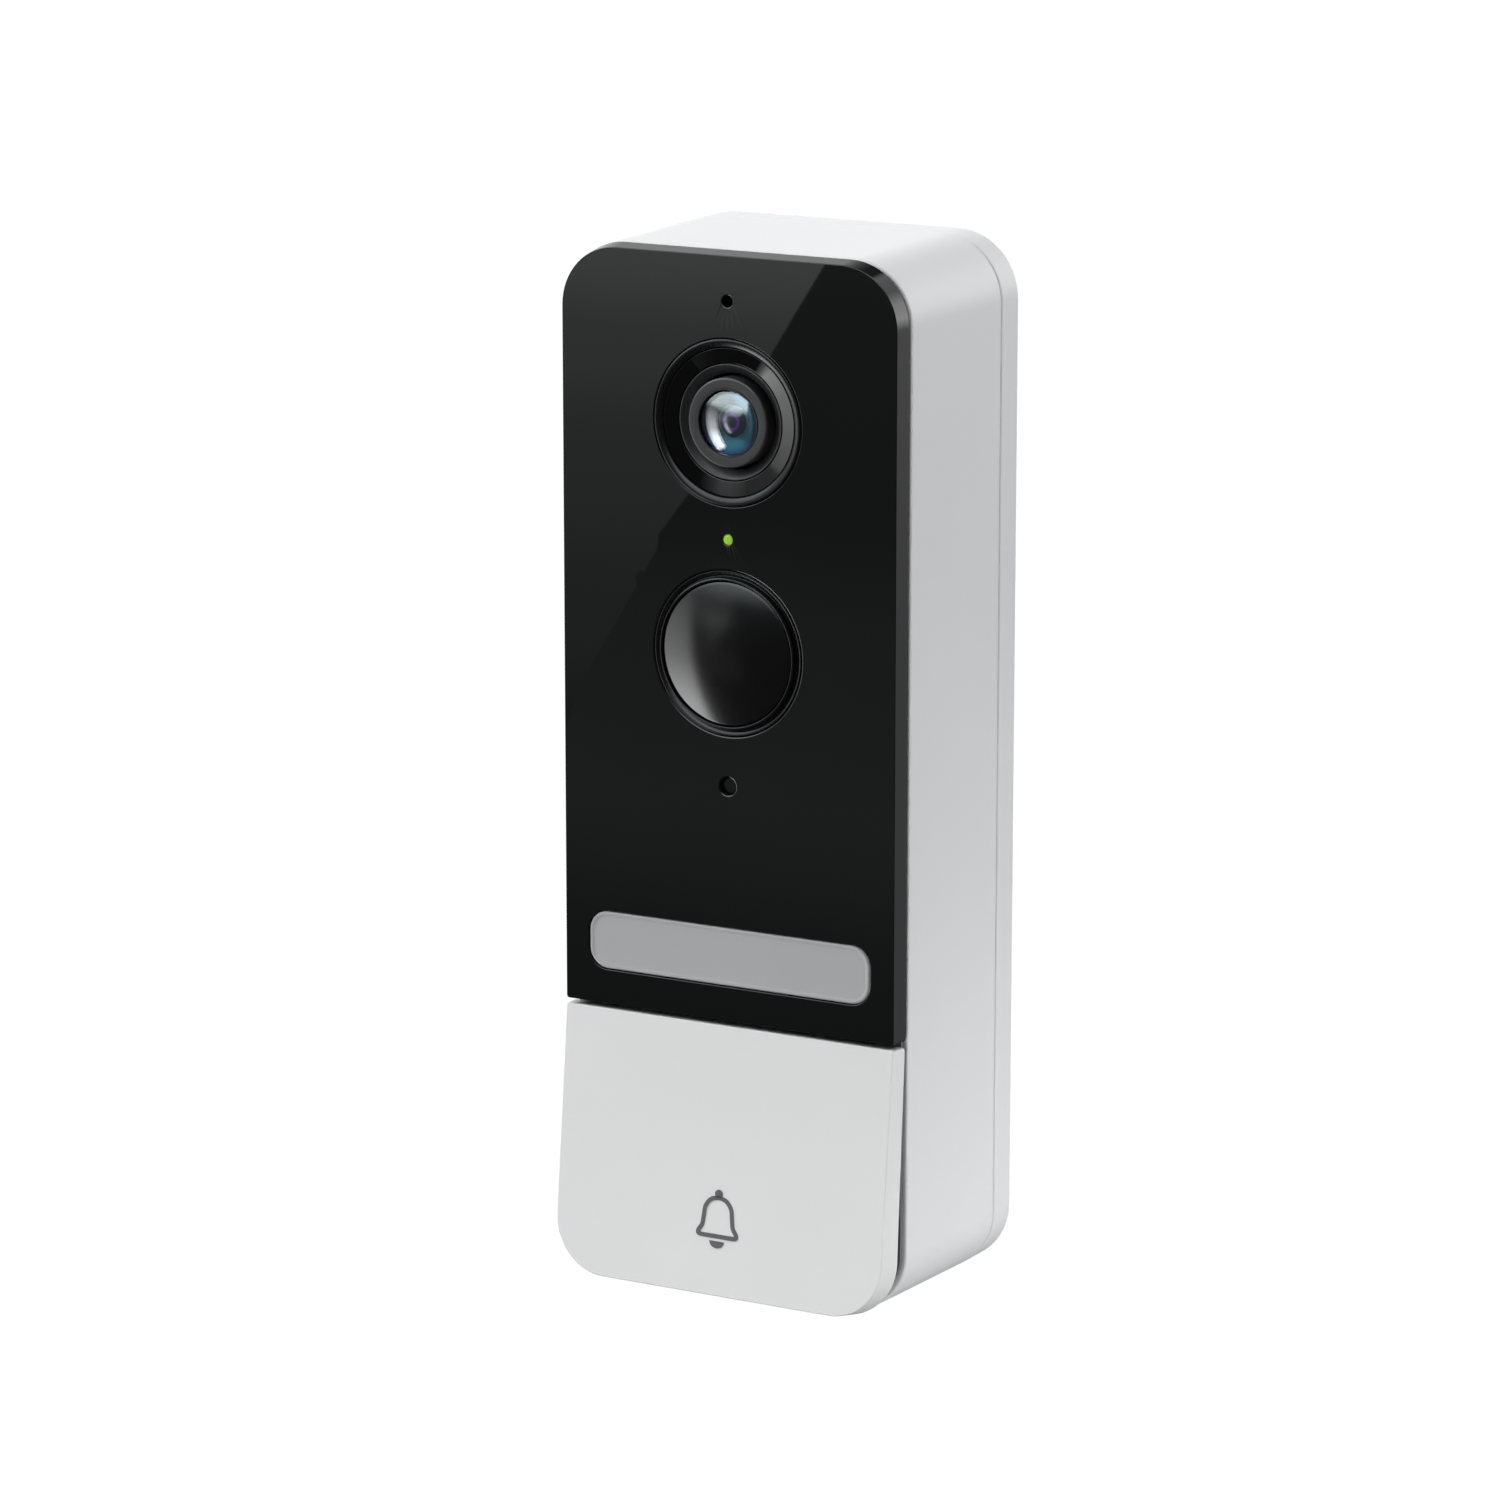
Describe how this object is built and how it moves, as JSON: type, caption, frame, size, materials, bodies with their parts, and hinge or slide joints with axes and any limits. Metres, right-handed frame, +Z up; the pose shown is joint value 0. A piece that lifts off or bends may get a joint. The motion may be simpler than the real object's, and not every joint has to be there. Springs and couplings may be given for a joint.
{
  "type": "video doorbell",
  "caption": "Battery video doorbell: black front panel with camera, motion dome and light bar over a leaning push plate, in a white housing on a wall bracket.",
  "frame": {"origin": "middle of the wall bracket's back face, in the plane of the wall", "axes": "+X to the right as a visitor sees it, +Y into the wall, +Z up; the front panel faces -Y"},
  "size_m": [0.054, 0.0379, 0.148],
  "materials": {
    "white_shell": "fine satin moulded finish",
    "gloss_black": "polished, mirror-like",
    "matt_black": "matt",
    "dark_plastic": "matt",
    "bracket_plastic": "matt textured",
    "frosted_diffuser": "frosted, slightly translucent",
    "coated_glass": "polished, coated",
    "sensor_silicon": "polished",
    "green_light": "clear, lit green",
    "grey_rubber": "matt",
    "bright_steel": "plated",
    "gold_metal": "plated",
    "circuit_board": "solder mask",
    "white_board": "white solder mask",
    "yellow_phosphor": "phosphor gel",
    "ivory_plastic": "moulded",
    "amber_film": "polyimide film",
    "blue_wrap": "heat-shrink sleeve",
    "red_wire": "insulation",
    "grey_print": "printed ink"
  },
  "bodies": {
    "bracket": {"wall_bracket": "bracket_plastic", "latch_clip": "bright_steel", "latch_rivets": "bright_steel"},
    "doorbell": {"housing": "white_shell", "rear_cover": "white_shell", "housing_seal": "grey_rubber", "cover_screws": "bright_steel", "carrier_frame": "dark_plastic", "carrier_screws": "bright_steel", "front_panel": "gloss_black", "panel_tape": "matt_black", "lens_bezel": "matt_black", "lens_baffle": "gloss_black", "lens_barrel": "matt_black", "lens_retainer": "matt_black", "lens_glass": "coated_glass", "lens_iris": "matt_black", "lens_rear_element": "coated_glass", "lens_holder": "matt_black", "image_sensor": "sensor_silicon", "led_light_pipe": "green_light", "status_led": "green_light", "pir_bezel": "matt_black", "pir_dome": "gloss_black", "pir_sensor": "bright_steel", "daylight_window": "gloss_black", "daylight_sensor": "matt_black", "foam_gaskets": "grey_rubber", "mic_board": "circuit_board", "microphone": "gold_metal", "light_bar": "frosted_diffuser", "spotlight_board": "white_board", "spotlight_leds": "yellow_phosphor", "sensor_board": "circuit_board", "main_board": "circuit_board", "board_screws": "bright_steel", "shield_cans": "bright_steel", "antenna": "gold_metal", "board_connectors": "ivory_plastic", "flex_cable": "amber_film", "speaker_basket": "matt_black", "speaker_cone": "matt_black", "speaker_magnet": "bright_steel", "battery_cells": "blue_wrap", "battery_holder": "matt_black", "battery_strips": "bright_steel", "battery_leads": "red_wire", "io_board": "circuit_board", "usb_socket": "bright_steel", "reset_switch": "matt_black", "button_pins": "bright_steel", "button_springs": "bright_steel", "switch_board": "circuit_board", "switch_body": "matt_black"},
    "button": {"button_plate": "white_shell", "bell_icon": "grey_print"},
    "switch": {"switch_plunger": "grey_rubber"},
    "reset": {"reset_button": "grey_rubber"},
    "release": {"release_plunger": "grey_rubber"},
    "port_flap": {"port_cover": "grey_rubber"}
  },
  "joints": [
    {"name": "doorbell_tilt", "type": "hinge", "parent": "bracket", "child": "doorbell", "pos_m": [0, -0.00225, 0.07], "axis": [-1, 0, 0], "range_deg": [0, 6], "deforming": ["latch_clip"]},
    {"name": "button_press", "type": "hinge", "parent": "doorbell", "child": "button", "pos_m": [0, -0.0296, -0.0374], "axis": [1, 0, 0], "range_deg": [0, 1.5], "stiffness_Nm_per_rad": 2.5, "springref_deg": -0.46, "deforming": ["button_springs"]},
    {"name": "switch_press", "type": "slide", "parent": "doorbell", "child": "switch", "axis": [0, 1, 0], "range_m": [0, 0.00066]},
    {"name": "reset_press", "type": "slide", "parent": "doorbell", "child": "reset", "axis": [0, 0, 1], "range_m": [0, 0.0004], "stiffness_N_per_m": 500, "springref_m": -0.0008},
    {"name": "release_press", "type": "slide", "parent": "doorbell", "child": "release", "axis": [0, 0, 1], "range_m": [0, 0.0015], "stiffness_N_per_m": 500, "springref_m": -0.0008, "deforming": ["latch_clip"]},
    {"name": "port_cover_open", "type": "hinge", "parent": "doorbell", "child": "port_flap", "pos_m": [0.0195, -0.0134, -0.0738], "axis": [0, -1, 0], "range_deg": [0, 110]}
  ],
  "couplings": [
    {"joint": "switch_press", "follows": "button_press", "m_per_rad": 0.0246}
  ]
}
